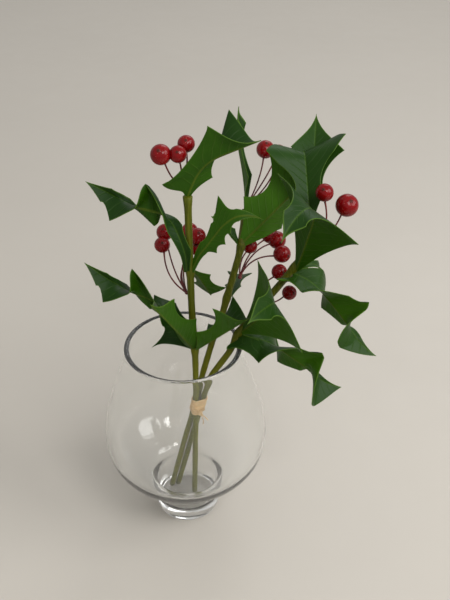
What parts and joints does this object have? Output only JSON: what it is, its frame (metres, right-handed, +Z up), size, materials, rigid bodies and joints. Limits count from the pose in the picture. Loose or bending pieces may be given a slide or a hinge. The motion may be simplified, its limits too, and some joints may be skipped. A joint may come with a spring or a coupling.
{
  "type": "holly sprig",
  "caption": "Three holly stems with spiny leaves and red berries, tied with raffia, standing in a clear footed glass vase.",
  "frame": {"origin": "centre of the flat underside of the vase's foot", "axes": "+Z up along the vase's turned axis; the open side of the sprig, with the hanging leaf tips, faces -Y"},
  "size_m": [0.1851, 0.1414, 0.3097],
  "materials": {
    "clear_glass": "clear, polished",
    "holly_leaf": "soft gloss, paler margin",
    "holly_stem": "smooth olive bark",
    "holly_berry": "glossy with fine specks",
    "raffia": "dry fibre"
  },
  "bodies": {
    "root": {"vase": "clear_glass", "stem_left": "holly_stem", "stem_middle": "holly_stem", "stem_right": "holly_stem", "raffia_tie": "raffia", "leaves_left_low": "holly_leaf", "leaves_left_mid": "holly_leaf", "leaves_left_top": "holly_leaf", "leaves_middle_low": "holly_leaf", "leaves_middle_mid": "holly_leaf", "leaves_middle_top": "holly_leaf", "leaves_right_low": "holly_leaf", "leaves_right_mid": "holly_leaf", "leaves_right_top": "holly_leaf", "berries_left_top": "holly_berry", "berries_left_mid": "holly_berry", "berries_middle_top": "holly_berry", "berries_middle_mid": "holly_berry", "berries_right_low": "holly_berry", "berries_right_top": "holly_berry"}
  },
  "joints": []
}
